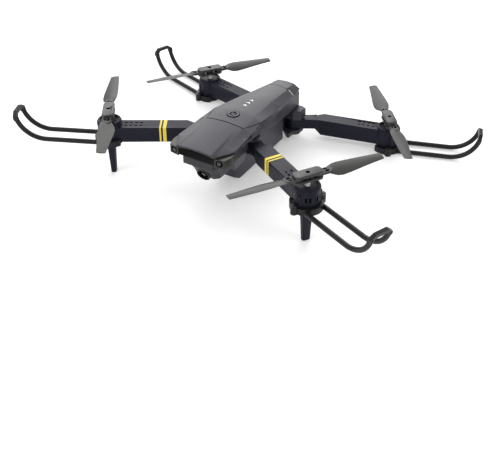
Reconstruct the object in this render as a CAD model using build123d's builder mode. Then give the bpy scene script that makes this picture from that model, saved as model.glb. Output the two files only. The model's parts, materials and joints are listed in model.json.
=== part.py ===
from build123d import *
import os
from math import atan2, cos, degrees, hypot, radians, sin

os.makedirs("parts", exist_ok=True)

# Palm-sized folding quadcopter, millimetres.  +Z is up, the nose points along -Y, and the
# left-hand side is +X.  Places along the body are stations, measured fore and aft from a datum
# near the power button; middle_station is the middle of the outline with arms and guards spread.
middle_station = 9.9

# ---- driving dimensions -------------------------------------------------------------------
wall = 1.3                  # moulded shell thickness
seam_gap = 0.3              # visible gap between neighbouring covers
running_fit = 0.05          # radial clearance of a pin or shaft in its bore
pin_radius = 1.2            # arm hinge pins

front_pivot = (17.4, -17.8)
front_hub = (75.7, -52.1)
rear_pivot = (10.0, 52.6)
rear_hub = (77.0, 73.1)

front_arm_bottom = 26.8
front_arm_top = 37.6
front_root_bottom = 28.6
front_root_top = 36.0
front_arm_half = 5.7
front_root_half = 4.2

rear_arm_bottom = 4.6
rear_arm_top = 16.9
rear_root_bottom = 8.4
rear_root_top = 16.0
rear_arm_half = 5.4
rear_root_half = 3.9
elbow_reach = 17.0
elbow_turn = 14.0           # the rear arm's root leaves its hinge this much further aft

pod_radius = 8.3
front_pod_bottom = 24.5
front_pod_top = 41.5
rear_pod_top = 18.0
motor_radius = 4.25
motor_length = 13.0
shaft_radius = 0.5
rim_height = 1.0            # part of the pod's cap that shows above the arm

hub_length = 19.6
hub_width = 7.8
hub_height = 5.3
hub_lift = 2.9              # clear height between the pod's rim and the rotor hub
blade_pivot = 7.0
blade_length = 45.0         # from the blade's pivot to its tip
front_rotor_turn = 56.0     # direction of blade a in plan, left-hand rotors
rear_rotor_turn = 127.0

guard_turn_front = -24.0    # outward direction of a guard in plan, left-hand side
guard_turn_rear = 18.2
guard_rail_radius = 1.7
guard_rail_spread = 6.7
guard_straight = 43.5       # reach of the level part of a rail from the pod's centre
guard_bend_radius = 20.5
guard_bend_angle = 78.0
guard_ring_height = 4.4

button_station = -14.1
button_radius = 4.1
button_top = 49.0
chevron_stations = (1.1, 5.6, 10.1)
chevron_size = 0.85         # scale of the arrows cut through the cover
light_size = 0.76           # scale of the light guides that stand in them
light_bar_top = 45.6

bay_half = 9.7              # battery bay inside the hull
bay_bottom = 24.2
bay_top = 36.4
bay_front = 8.0
tail_end = 60.0
tray_bottom = 36.3          # the camera housing hangs below the nose tray

# Upper skin: station, crown height, ridge (x, z), shoulder (x, z) and lower edge (x, z).
upper_sections = [
    (-60.0, 45.3, (13.6, 44.4), (14.3, 43.9), (14.6, 43.0)),
    (-47.2, 46.4, (13.9, 45.3), (21.6, 43.4), (22.0, 42.6)),
    (-24.8, 48.3, (14.3, 46.9), (20.4, 44.3), (21.4, 40.9)),
    (-8.3, 48.8, (12.9, 47.2), (19.1, 45.0), (20.2, 39.0)),
    (20.0, 46.8, (10.5, 45.0), (16.4, 41.4), (16.7, 38.6)),
    (46.4, 42.8, (8.1, 41.6), (12.9, 37.6), (13.2, 36.2)),
    (58.0, 41.0, (6.8, 40.0), (11.0, 37.2), (11.4, 36.2)),
]

# Plan of the chevron seam, left-hand half, from the centre line outwards.
seam = [(0.0, -24.8), (14.3, -24.8), (19.1, -8.3), (30.0, -5.0)]
tail_seam = 46.4

deck = Plane((0, -middle_station, 0))


# ---- small helpers --------------------------------------------------------------------------
def plate(plane, bottom, top, outline, mode=Mode.ADD):
    """Straight-sided block over a closed outline, between two heights."""
    with BuildSketch(plane.offset(bottom)) as base:
        Polygon(*outline, align=None)
    extrude(base.sketch, amount=top - bottom, mode=mode)


def block(plane, bottom, top, x_from, x_to, y_from, y_to, mode=Mode.ADD):
    """Rectangular block between two heights."""
    outline = [(x_from, y_from), (x_to, y_from), (x_to, y_to), (x_from, y_to)]
    plate(plane, bottom, top, outline, mode=mode)


def drum(plane, bottom, top, radius, centre=(0, 0), mode=Mode.ADD):
    """Upright cylinder between two heights."""
    with BuildSketch(plane.offset(bottom)) as base:
        with Locations(centre):
            Circle(radius)
    extrude(base.sketch, amount=top - bottom, mode=mode)


def across(station):
    """Upright plane square to the body at a station, with x across and y up."""
    return Plane((0, station - middle_station, 0), x_dir=(1, 0, 0), z_dir=(0, -1, 0))


def line_from(point, direction):
    """Level plane whose x axis runs along a direction in plan, from a point on the deck."""
    turn = radians(direction)
    origin = (point[0], point[1] - middle_station, 0)
    return Plane(origin, x_dir=(cos(turn), sin(turn), 0), z_dir=(0, 0, 1))


def square_to(line, reach, aside=0.0):
    """Upright plane square to an arm, blade or guard line, with x to its left and y up."""
    origin = line.from_local_coords(Vector(reach, aside, 0))
    return Plane(origin, x_dir=line.y_dir, z_dir=line.x_dir)


def flare(line, steps):
    """Bar along a line: each step is reach, half width, bottom and top, joined by flat faces."""
    slices = []
    for reach, half, bottom, top in steps:
        with BuildSketch(square_to(line, reach)) as section:
            Polygon((-half, bottom), (half, bottom), (half, top), (-half, top), align=None)
        slices.append(section.sketch.face())
    loft(slices, ruled=True)


def both_sides(half):
    """Closed outline from its left-hand half, listed from the centre line outwards and back."""
    return list(half) + [(-x, y) for x, y in reversed(half) if abs(x) > 1e-6]


def save(part, name):
    """Label one piece and write its file."""
    part.label = name
    export_step(part, f"parts/{name}.step")


def save_pair(part, name):
    """Write the left-hand piece, and its mirror image for the right."""
    with BuildPart() as other:
        mirror(part, about=Plane.YZ)
    save(part, name + "_left")
    save(other.part, name + "_right")


def upper_skin(shrink, drop, mode=Mode.ADD):
    """Loft of the body's upper faces, shrunk inwards and carried below the lower edge."""
    slices = []
    for station, crown, ridge, shoulder, edge in upper_sections:
        low = (edge[0] - shrink, edge[1] - drop)
        side = (shoulder[0] - shrink, shoulder[1] - shrink)
        top = (ridge[0] - shrink, ridge[1] - shrink)
        with BuildSketch(across(station)) as section:
            with BuildLine():
                Polyline(top, side, low, (-low[0], low[1]), (-side[0], side[1]), (-top[0], top[1]))
                ThreePointArc((-top[0], top[1]), (0, crown - shrink), top)
            make_face()
        slices.append(section.sketch.face())
    loft(slices, ruled=True, mode=mode)


def seam_outline(shift, far):
    """Plan of everything between the chevron seam, moved by shift, and a far station."""
    half = [(x, y + shift) for x, y in seam]
    widest = half[-1][0]
    return both_sides([(0.0, far), (widest, far)] + half[::-1])


def rectangles(mode, steps):
    """Loft along the body: each step is station, half width, bottom and top."""
    slices = []
    for station, half, bottom, top in steps:
        with BuildSketch(across(station)) as section:
            Polygon((-half, bottom), (half, bottom), (half, top), (-half, top), align=None)
        slices.append(section.sketch.face())
    loft(slices, ruled=True, mode=mode)


# ---- upper covers ---------------------------------------------------------------------------
with BuildPart() as nose_cover:
    upper_skin(0.0, 0.0)
    upper_skin(wall, wall + 1.0, mode=Mode.SUBTRACT)
    plate(deck, 30, 52, seam_outline(-seam_gap / 2, -70), mode=Mode.INTERSECT)
save(nose_cover.part, "nose_cover")


def chevron(station, size):
    """Small arrow pointing aft, at a station."""
    return both_sides([(0.0, station + 0.1 * size), (1.1 * size, station - 0.9 * size),
                       (2.0 * size, station - 0.9 * size), (0.0, station + 1.3 * size)])


with BuildPart() as top_cover:
    upper_skin(0.0, 0.0)
    upper_skin(wall, wall + 1.0, mode=Mode.SUBTRACT)
    plate(deck, 30, 52, seam_outline(seam_gap / 2, tail_seam - seam_gap), mode=Mode.INTERSECT)
    drum(deck, 40, 52, button_radius + 0.3, (0, button_station), mode=Mode.SUBTRACT)
    for station in chevron_stations:
        plate(deck, 40, 52, chevron(station, chevron_size), mode=Mode.SUBTRACT)
save(top_cover.part, "top_cover")

with BuildPart() as tail_cover:
    upper_skin(0.0, 0.0)
    upper_skin(wall, wall + 1.0, mode=Mode.SUBTRACT)
    block(deck, 30, 52, -30, 30, tail_seam, 70, mode=Mode.INTERSECT)
    with BuildSketch(across(58.0)) as end_wall:
        Polygon(*both_sides([(0, 40.6), (6.8, 40.0), (11.0, 37.2), (11.4, 36.8)]), align=None)
    extrude(end_wall.sketch, amount=-1.6)
save(tail_cover.part, "tail_cover")

# ---- power button and lights ----------------------------------------------------------------
with BuildPart() as power_button:
    drum(deck, button_top - 2.2, button_top, button_radius, (0, button_station))
    fillet(power_button.edges().filter_by(GeomType.CIRCLE).group_by(Axis.Z)[-1], 0.35)
    drum(deck, button_top - 0.25, button_top + 1, 2.5, (0, button_station), mode=Mode.SUBTRACT)
    drum(deck, button_top - 1, button_top - 0.05, 1.7, (0, button_station))
    drum(deck, 45.2, button_top - 2.2, 1.0, (0, button_station))
save(power_button.part, "power_button")

with BuildPart() as charge_lights:
    for station in chevron_stations:
        crown = 48.8 - 2.0 * (station + 8.3) / 28.3
        plate(deck, light_bar_top - 0.2, crown, chevron(station + 0.05, light_size))
    block(deck, light_bar_top - 1.0, light_bar_top, -1.4, 1.4,
          chevron_stations[0] - 1, chevron_stations[-1] + 1)
save(charge_lights.part, "charge_lights")

# ---- lower hull -----------------------------------------------------------------------------
# The hull is a tub: wide at the nose, waisted behind the front arms so that they fold against
# it, and narrow low down so that the rear arms and their rotors fold beside it.
lug_reach = 5.0
screw_stations = (-16.0, 31.0)
screw_half = 6.0
screw_head = 1.5
tray_end = -47.4            # the nose tray widens behind the corner sensors
nose_end = -30.6
lug_heights = ((26.7, 28.3), (36.3, 38.6))
cheek_levels = ((27.2, 19.4, -44.0), (33.0, 20.6, -46.4), (tray_bottom, 21.4, tray_end))
with BuildPart() as hull:
    # nose tray between the corner sensors, and the cheeks behind them
    rectangles(Mode.ADD, [(-57.2, 13.4, tray_bottom, 42.3), (tray_end, 13.4, tray_bottom, 42.1)])
    rectangles(Mode.ADD, [(tray_end, 21.6, tray_bottom, 42.1), (nose_end, 21.1, tray_bottom, 40.9)])
    for side in (1, -1):
        slices = []
        for height, outer, front in cheek_levels:
            with BuildSketch(deck.offset(height)) as cheek:
                Polygon((side * 14.4, front), (side * outer, front), (side * (outer - 0.6), nose_end),
                        (side * 14.4, nose_end), align=None)
            slices.append(cheek.sketch.face())
        loft(slices, ruled=True)
    # waist above the folded rear arms
    rectangles(Mode.ADD, [(-31.0, 11.9, 25.6, 37.8), (-8.0, 11.9, 25.6, 38.6), (40.0, 12.6, 25.6, 36.4),
                          (tail_end - 1.0, 11.4, 24.0, 35.0)])
    # keel beside the folded rear rotors and arms
    rectangles(Mode.ADD, [(-28.0, 8.6, 8.5, 25.6), (-23.0, 10.0, 5.6, 25.6), (37.0, 10.0, 5.6, 25.6),
                          (46.0, 4.9, 5.6, 25.6), (tail_end, 4.9, 5.6, 25.6)])
    # hollow inside, open at the top under the covers
    block(deck, tray_bottom + 1.3, 45.0, -12.2, 12.2, -56.0, -30.0, mode=Mode.SUBTRACT)
    block(deck, 27.2, 45.0, -10.5, 10.5, -29.4, bay_front - 1.5, mode=Mode.SUBTRACT)
    block(deck, 7.4, 30.0, -8.4, 8.4, -20.0, bay_front - 1.5, mode=Mode.SUBTRACT)
    block(deck, 7.4, bay_bottom - 1.4, -8.4, 8.4, -20.0, 35.0, mode=Mode.SUBTRACT)
    # lip that carries the covers
    slices = []
    for station, crown, ridge, shoulder, edge in upper_sections[3:6]:
        half = edge[0] - 0.9
        with BuildSketch(across(station + 0.4)) as lip:
            Polygon((-half, edge[1] - 0.8), (half, edge[1] - 0.8), (half, edge[1] - 0.2),
                    (-half, edge[1] - 0.2), align=None)
        slices.append(lip.sketch.face())
    loft(slices, ruled=True)
    block(deck, 36.5, 45, -10.4, 10.4, -9, bay_front - 1.5, mode=Mode.SUBTRACT)
    # battery bay, open at the tail, with a window for its contacts
    block(deck, bay_bottom, bay_top, -bay_half, bay_half, bay_front, 80, mode=Mode.SUBTRACT)
    block(deck, 28.6, 31.8, -4.8, 4.8, bay_front - 2, bay_front + 1, mode=Mode.SUBTRACT)
    # lugs above and below each front arm's root
    for side in (1, -1):
        spot = (side * front_pivot[0], front_pivot[1])
        for low, high in lug_heights:
            drum(deck, low, high, lug_reach, spot)
            plate(deck, low, high, [(side * 9, spot[1] - 6), (spot[0], spot[1] - lug_reach),
                                    (spot[0], spot[1] + lug_reach), (side * 9, spot[1] + 8)])
        drum(deck, 26, 39, pin_radius, spot, mode=Mode.SUBTRACT)
        for station in screw_stations:
            drum(deck, 5.0, 7.0, screw_head, (side * screw_half, station), mode=Mode.SUBTRACT)
save(hull.part, "hull")

with BuildPart() as rear_bracket:
    # jaws above and below the rear arm's root, tied to the keel by the web behind them
    jaw = [(4.9, 46.6), (13.0, 46.6), (17.8, 49.6), (17.8, 57.6), (14.6, 59.6), (4.9, 59.6)]
    fin = [(4.9, 46.8), (10.6, 41.6), (12.6, 41.4), (12.9, 46.4), (16.4, 49.6), (16.4, 57.2),
           (13.6, 59.2), (4.9, 59.2)]
    plate(deck, 16.9, 23.8, jaw)
    plate(deck, 4.6, 8.0, fin)
    plate(deck, 8.0, 16.9, [(4.9, 57.8), (8.2, 57.8), (9.4, 59.2), (4.9, 59.2)])
    chamfer(rear_bracket.faces().sort_by(Axis.Z)[-1].edges(), 0.8)
    drum(deck, 4.0, 25.0, pin_radius, rear_pivot, mode=Mode.SUBTRACT)
with BuildPart() as rear_brackets:
    add(rear_bracket.part)
    mirror(rear_bracket.part, about=Plane.YZ)
save(rear_brackets.part, "rear_brackets")

with BuildPart() as front_hinge_pins:
    for side in (1, -1):
        drum(deck, 26.9, 38.4, pin_radius, (side * front_pivot[0], front_pivot[1]))
save(front_hinge_pins.part, "front_hinge_pins")

with BuildPart() as rear_hinge_pins:
    for side in (1, -1):
        drum(deck, 4.8, 23.6, pin_radius, (side * rear_pivot[0], rear_pivot[1]))
save(rear_hinge_pins.part, "rear_hinge_pins")

# ---- nose: grille, corner sensors and camera --------------------------------------------------
with BuildPart() as front_grille:
    block(deck, 37.6, 42.6, -13.4, 13.4, -59.6, -57.4)
    for height in (38.6, 40.0, 41.4):
        block(deck, height, height + 0.7, -12.6, 12.6, -60, -58.5, mode=Mode.SUBTRACT)
save(front_grille.part, "front_grille")

with BuildPart() as sensor_housing:
    plate(deck, tray_bottom, 42.3, [(13.6, -59.4), (20.8, -58.2), (22.6, -52.4), (22.6, -47.6),
                                    (13.6, -47.6)])
    chamfer(sensor_housing.edges().filter_by(Axis.Z).sort_by(Axis.X)[2], 0.6)
    with BuildSketch(Plane(sensor_housing.faces().sort_by(Axis.Y)[0])) as face:
        with Locations((0.6, 0)):
            Circle(2.3)
    extrude(face.sketch, amount=-0.9, mode=Mode.SUBTRACT)
with BuildPart() as corner_sensors:
    add(sensor_housing.part)
    mirror(sensor_housing.part, about=Plane.YZ)
save(corner_sensors.part, "corner_sensors")

with BuildPart() as sensor_lens:
    with BuildSketch(Plane(sensor_housing.faces().sort_by(Axis.Y)[0])) as disc:
        with Locations((0.6, 0)):
            Circle(1.5)
    extrude(disc.sketch, amount=-0.9)
with BuildPart() as sensor_lenses:
    add(sensor_lens.part)
    mirror(sensor_lens.part, about=Plane.YZ)
save(sensor_lenses.part, "sensor_lenses")

# The camera sits in a chin below the nose, its lens facing forward and a little down.
lens_face = Plane((0, -50.4 - middle_station, 22.0), x_dir=(1, 0, 0), z_dir=(0, -0.94, -0.34))
chin_back = -31.2
chin_sections = [(30.6, 12.0, -56.0, 4.0), (26.5, 10.6, -53.6, 4.6), (18.2, 9.2, -48.6, 3.0)]
with BuildPart() as camera_housing:
    plate(deck, 30.6, tray_bottom - 0.1, both_sides([(0, -57.8), (11.2, -57.8), (12.8, -52.0),
                                                     (13.4, chin_back), (0, chin_back)]))
    slices = []
    for height, half, front, corner in chin_sections:
        with BuildSketch(deck.offset(height)) as level:
            Polygon(*both_sides([(0, front), (half - corner, front), (half, front + corner),
                                 (half, chin_back), (0, chin_back)]), align=None)
        slices.append(level.sketch.face())
    loft(slices, ruled=True)
    with BuildSketch(lens_face) as barrel:
        Circle(4.9)
    extrude(barrel.sketch, amount=1.6)
    extrude(barrel.sketch, amount=-10)
    with BuildSketch(lens_face.offset(5.0)) as bore:
        Circle(4.1)
    extrude(bore.sketch, amount=-11, mode=Mode.SUBTRACT)
save(camera_housing.part, "camera_housing")

with BuildPart() as lens_ring:
    with BuildSketch(lens_face.offset(-1.0)) as ring:
        Circle(4.05)
        Circle(2.7, mode=Mode.SUBTRACT)
    extrude(ring.sketch, amount=3.0)
save(lens_ring.part, "lens_ring")

with BuildPart() as camera_lens:
    with BuildSketch(lens_face.offset(-0.8)) as glass:
        Circle(2.65)
    extrude(glass.sketch, amount=1.8)
    fillet(camera_lens.edges().sort_by(Axis.Y)[0], 0.8)
save(camera_lens.part, "camera_lens")

with BuildPart() as camera_sensor:
    with BuildSketch(lens_face.offset(-3.4)) as chip:
        Rectangle(5.2, 5.2)
    extrude(chip.sketch, amount=2.4)
save(camera_sensor.part, "camera_sensor")

# ---- electronics, battery, screws -------------------------------------------------------------
with BuildPart() as circuit_board:
    block(deck, 42.2, 43.2, -9.8, 9.8, -22.0, 16.0)
    block(deck, 43.2, 44.6, -2.2, 2.2, button_station - 2.2, button_station + 2.2)
    block(deck, 41.0, 42.2, -3.5, 3.5, -4.0, 3.0)
    for corner in (-7.5, 7.5):
        block(deck, 41.2, 42.2, corner - 1.4, corner + 1.4, 6.0, 11.0)
save(circuit_board.part, "circuit_board")

with BuildPart() as battery_contacts:
    block(deck, 27.4, 33.4, -6.0, 6.0, 4.2, bay_front - 1.6)
    for offset_x in (-3.0, 0.0, 3.0):
        block(deck, 29.6, 30.6, offset_x - 0.7, offset_x + 0.7, bay_front - 1.6, bay_front + 0.8)
save(battery_contacts.part, "battery_contacts")

with BuildPart() as battery_pack:
    block(deck, bay_bottom + 0.3, bay_top - 0.3, -bay_half + 0.4, bay_half - 0.4, bay_front + 1.2, 56.6)
    fillet(battery_pack.edges().filter_by(Axis.Y), 1.6)
save(battery_pack.part, "battery_pack")

with BuildPart() as battery_cap:
    block(deck, bay_bottom + 0.3, bay_top - 0.3, -bay_half + 0.3, bay_half - 0.3, 56.6, tail_end + 0.8)
    chamfer(battery_cap.faces().sort_by(Axis.Y)[-1].edges(), 0.7)
    for rib in range(4):
        block(deck, 27.4 + 1.9 * rib, 28.3 + 1.9 * rib, -5.0, 5.0, tail_end + 0.2, 70, mode=Mode.SUBTRACT)
save(battery_cap.part, "battery_cap")

with BuildPart() as case_screws:
    for side in (1, -1):
        for station in screw_stations:
            drum(deck, 6.0, 7.0, screw_head, (side * screw_half, station))
save(case_screws.part, "case_screws")


# ---- arms -------------------------------------------------------------------------------------
def cooling_slots(line, top, first):
    """Two rows of four small slots sunk in an arm's upper face beside its pod."""
    with BuildSketch(line.offset(top - 1.2)) as slots:
        for step in range(4):
            with Locations((first + 3.4 * step, 1.9), (first + 3.4 * step, -1.9)):
                SlotOverall(2.3, 1.3)
    extrude(slots.sketch, amount=2, mode=Mode.SUBTRACT)


def motor_pod(line, reach, bottom, top, boss_bottom):
    """Hollow cup for a motor, with three outside ribs and a recessed rim for its cap."""
    drum(line, bottom, top - rim_height, pod_radius, (reach, 0))
    with BuildSketch(line.offset(boss_bottom)) as ribs:
        with Locations((reach, 0)):
            with PolarLocations(pod_radius - 0.3, 4, start_angle=62, angular_range=236,
                                endpoint=True):
                Circle(1.3)
    extrude(ribs.sketch, amount=top - 4.6 - boss_bottom)
    drum(line, bottom + 1.6, top, pod_radius - 1.4, (reach, 0), mode=Mode.SUBTRACT)
    drum(line, bottom + 1.6, bottom + 9, motor_radius + 1.3, (reach, 0))
    drum(line, bottom + 1.6, top, motor_radius, (reach, 0), mode=Mode.SUBTRACT)


front_reach = hypot(front_hub[0] - front_pivot[0], front_hub[1] - front_pivot[1])
front_turn = degrees(atan2(front_hub[1] - front_pivot[1], front_hub[0] - front_pivot[0]))
front_line = line_from(front_pivot, front_turn)

with BuildPart() as front_arm:
    drum(front_line, front_root_bottom, front_root_top, 4.8)
    flare(front_line, [(0, front_root_half, front_root_bottom, front_root_top),
                       (9, front_root_half, front_root_bottom, front_root_top),
                       (15, front_arm_half, front_arm_bottom, front_arm_top),
                       (front_reach - 2, front_arm_half, front_arm_bottom, front_arm_top)])
    motor_pod(front_line, front_reach, front_pod_bottom, front_pod_top, 30.0)
    block(front_line, 29.0, 33.8, 20, front_reach - 7.5, -2.6, 2.6, mode=Mode.SUBTRACT)
    block(front_line, 29.6, 32.6, 8, 21, -1.2, 1.2, mode=Mode.SUBTRACT)
    cooling_slots(front_line, front_arm_top, front_reach - 21.4)
    drum(front_line, 20, 40, pin_radius + running_fit, mode=Mode.SUBTRACT)
save_pair(front_arm.part, "front_arm")

rear_reach = hypot(rear_hub[0] - rear_pivot[0], rear_hub[1] - rear_pivot[1])
rear_turn = degrees(atan2(rear_hub[1] - rear_pivot[1], rear_hub[0] - rear_pivot[0]))
root_turn = rear_turn + elbow_turn
elbow = (rear_pivot[0] + elbow_reach * cos(radians(root_turn)),
         rear_pivot[1] + elbow_reach * sin(radians(root_turn)))
outer_reach = hypot(rear_hub[0] - elbow[0], rear_hub[1] - elbow[1])
outer_turn = degrees(atan2(rear_hub[1] - elbow[1], rear_hub[0] - elbow[0]))
root_line = line_from(rear_pivot, root_turn)
outer_line = line_from(elbow, outer_turn)

with BuildPart() as rear_arm:
    drum(root_line, rear_root_bottom, rear_root_top, 4.4)
    flare(root_line, [(0, rear_root_half, rear_root_bottom, rear_root_top),
                      (elbow_reach, rear_root_half, rear_root_bottom, rear_root_top)])
    drum(outer_line, rear_root_bottom, rear_root_top, rear_root_half)
    flare(outer_line, [(0, rear_root_half, rear_root_bottom, rear_root_top),
                       (5, rear_arm_half, rear_arm_bottom, rear_arm_top),
                       (outer_reach - 2, rear_arm_half, rear_arm_bottom, rear_arm_top)])
    motor_pod(outer_line, outer_reach, 0.0, rear_pod_top, 6.0)
    block(outer_line, 7.4, 13.6, 7, outer_reach - 7.5, -2.6, 2.6, mode=Mode.SUBTRACT)
    cooling_slots(outer_line, rear_arm_top, outer_reach - 21.4)
    drum(root_line, 0, 40, pin_radius + running_fit, mode=Mode.SUBTRACT)
save_pair(rear_arm.part, "rear_arm")


# ---- motors, pod caps, legs -------------------------------------------------------------------
def motor_and_cap(hub, turn, bottom, top, name):
    """Coreless motor standing in its pod, and the ring-shaped cap that closes the pod."""
    spot = line_from(hub, turn)
    with BuildPart() as motor:
        drum(spot, bottom + 1.6, bottom + 1.6 + motor_length, motor_radius)
        drum(spot, bottom + 1.0, top, shaft_radius + running_fit, mode=Mode.SUBTRACT)
    save_pair(motor.part, name + "_motor")
    with BuildPart() as cap:
        drum(spot, top - rim_height, top, pod_radius - 0.35)
        fillet(cap.edges().group_by(Axis.Z)[-1], 0.4)
        drum(spot, top - 2.8, top - rim_height, pod_radius - 1.45)
        drum(spot, top - 0.8, top + 1, pod_radius - 1.7, mode=Mode.SUBTRACT)
        drum(spot, top - 3, top - 1.8, motor_radius + 1.4, mode=Mode.SUBTRACT)
        drum(spot, top - 3, top + 1, 2.4, mode=Mode.SUBTRACT)
    save_pair(cap.part, name + "_pod_cap")


motor_and_cap(front_hub, front_turn, front_pod_bottom, front_pod_top, "front")
motor_and_cap(rear_hub, outer_turn, 0.0, rear_pod_top, "rear")

leg_spot = line_from(front_hub, front_turn)
with BuildPart() as landing_leg:
    slices = []
    for height, across_leg, along_leg in ((front_pod_bottom, 7.8, 5.4), (12.0, 6.4, 4.4), (0.0, 5.4, 3.6)):
        with BuildSketch(leg_spot.offset(height)) as section:
            RectangleRounded(along_leg, across_leg, 1.2)
        slices.append(section.sketch.face())
    loft(slices, ruled=True)
save_pair(landing_leg.part, "landing_leg")


# ---- rotors -----------------------------------------------------------------------------------
def airfoil(plane, lead, trail, thick, pitch):
    """Thin lens-shaped blade section, pitched about the blade's own line."""
    with BuildSketch(plane) as section:
        with BuildLine(Plane.XY.rotated((0, 0, pitch))):
            ThreePointArc((lead, 0), ((lead + trail) / 2, thick * 0.5), (trail, 0))
            ThreePointArc((trail, 0), ((lead + trail) / 2, -thick * 0.35), (lead, 0))
        make_face()
    return section.sketch.face()


def blade(line, middle, hand, name):
    """Folding blade: flat eye on the pivot pin, then a pitched, twisted, tapering wing."""
    wing = [(5.6, 2.5, -2.5, 1.9, 2), (8.0, 3.4, -4.0, 1.8, 12), (11.0, 4.3, -5.6, 1.6, 17),
            (14.5, 4.7, -6.2, 1.5, 17), (20.0, 4.6, -5.9, 1.3, 14), (28.0, 4.2, -4.9, 1.1, 11),
            (36.0, 3.7, -3.9, 1.0, 9), (blade_length, 3.1, -2.9, 0.9, 7)]
    with BuildPart() as part:
        drum(line, middle - 1.0, middle + 1.0, 2.8)
        block(line, middle - 1.0, middle + 1.0, 0, 6.2, -2.4, 2.4)
        slices = []
        for reach, lead, trail, thick, pitch in wing:
            section_plane = square_to(line.offset(middle), reach)
            slices.append(airfoil(section_plane, hand * lead, hand * trail, thick, hand * pitch))
        loft(slices, ruled=True)
        drum(line, middle - 3, middle + 3, 0.8 + running_fit, mode=Mode.SUBTRACT)
    save_pair(part.part, name)


def rotor(hub, turn, rim, hand, name):
    """Hub, spindle with its collar, pivot pins and two folding blades of one rotor."""
    spot = line_from(hub, turn)
    bottom = rim + hub_lift
    middle = bottom + 2.55
    pins = [(blade_pivot, 0), (-blade_pivot, 0)]
    with BuildPart() as hub_part:
        with BuildSketch(spot.offset(bottom)) as under:
            RectangleRounded(hub_length, hub_width, 3.0)
        extrude(under.sketch, amount=1.4)
        with BuildSketch(spot.offset(bottom + 3.7)) as over:
            RectangleRounded(hub_length, hub_width, 3.0)
        extrude(over.sketch, amount=hub_height - 3.7)
        chamfer(hub_part.faces().sort_by(Axis.Z)[-1].edges(), 0.4)
        drum(spot, bottom + 1.0, bottom + 4.0, 2.7)
        drum(spot, bottom + hub_height - 1.0, bottom + hub_height + 1, 1.3, mode=Mode.SUBTRACT)
        drum(spot, bottom - 1, bottom + 3.4, shaft_radius, mode=Mode.SUBTRACT)
        for pin in pins:
            drum(spot, bottom - 1, bottom + 4.8, 0.8, pin, mode=Mode.SUBTRACT)
    save_pair(hub_part.part, name + "_hub")
    with BuildPart() as spindle:
        drum(spot, rim - 6.0, bottom + 3.4, shaft_radius)
        drum(spot, rim - 1.6, bottom, 1.85)
    save_pair(spindle.part, name + "_spindle")
    with BuildPart() as blade_pins:
        for pin in pins:
            drum(spot, bottom + 0.1, bottom + 4.8, 0.8, pin)
    save_pair(blade_pins.part, name + "_blade_pins")
    for label, side in (("a", 1), ("b", -1)):
        reach = turn if side > 0 else turn + 180
        foot = (hub[0] + blade_pivot * cos(radians(reach)), hub[1] + blade_pivot * sin(radians(reach)))
        blade(line_from(foot, reach), middle, hand, f"{name}_blade_{label}")


rotor(front_hub, front_rotor_turn, front_pod_top, 1, "front")
rotor(rear_hub, rear_rotor_turn, rear_pod_top, -1, "rear")


# ---- propeller guards ---------------------------------------------------------------------------
def bend_point(rail_height, angle):
    """Reach and height of a point on a rail's upward bend."""
    turn = radians(angle)
    return (guard_straight + guard_bend_radius * sin(turn),
            rail_height + guard_bend_radius * (1 - cos(turn)))


def guard(hub, turn, bottom, arm_turn, name):
    """Clip-on guard: split ring round the pod's foot, two rails that curve up, and an end bar."""
    spot = line_from(hub, turn)
    rail_height = bottom + guard_rail_radius + 0.1
    bend_middle = bend_point(rail_height, guard_bend_angle / 2)
    bend_end = bend_point(rail_height, guard_bend_angle)
    opening = arm_turn + 180
    with BuildPart() as part:
        drum(spot, bottom, bottom + guard_ring_height, pod_radius + 2.4)
        drum(spot, bottom, bottom + guard_ring_height, pod_radius + 0.3, mode=Mode.SUBTRACT)
        gap = line_from(hub, opening)
        plate(gap, bottom - 1, bottom + 8, [(0, 0), (20, -19), (20, 19)], mode=Mode.SUBTRACT)
        for side in (1, -1):
            with BuildSketch(spot.offset(bottom)) as ear:
                with Locations((1.5, side * (pod_radius + 2.6))):
                    Circle(2.3)
            extrude(ear.sketch, amount=guard_ring_height + 1.6)
            aside = side * guard_rail_spread
            stops = [(8.0, rail_height), (guard_straight, rail_height), bend_middle, bend_end]
            points = [spot.from_local_coords(Vector(reach, aside, height)) for reach, height in stops]
            with BuildLine() as rail:
                Line(points[0], points[1])
                ThreePointArc(*points[1:])
            with BuildSketch(square_to(spot, 8.0, aside)) as section:
                with Locations((0, rail_height)):
                    Circle(guard_rail_radius)
            sweep(section.sketch, path=rail.line)
        # flat end bar with cut corners, carrying on from the bend
        lean = radians(guard_bend_angle)
        origin = spot.from_local_coords(Vector(bend_end[0], 0, bend_end[1]))
        outward = spot.x_dir * sin(lean) - spot.z_dir * cos(lean)
        with BuildSketch(Plane(origin, x_dir=spot.y_dir, z_dir=outward)) as bar:
            Polygon(*both_sides([(0, 3.4), (4.6, 3.4), (8.4, 0.4), (8.4, -2.4), (5.2, -2.4), (5.2, -0.4),
                                 (3.6, 0.9), (0, 0.9)]), align=None)
        extrude(bar.sketch, amount=1.3, both=True)
    save_pair(part.part, name)


guard(front_hub, guard_turn_front, front_pod_bottom + 0.3, front_turn, "front_guard")
guard(rear_hub, guard_turn_rear, 0.3, outer_turn, "rear_guard")
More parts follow.
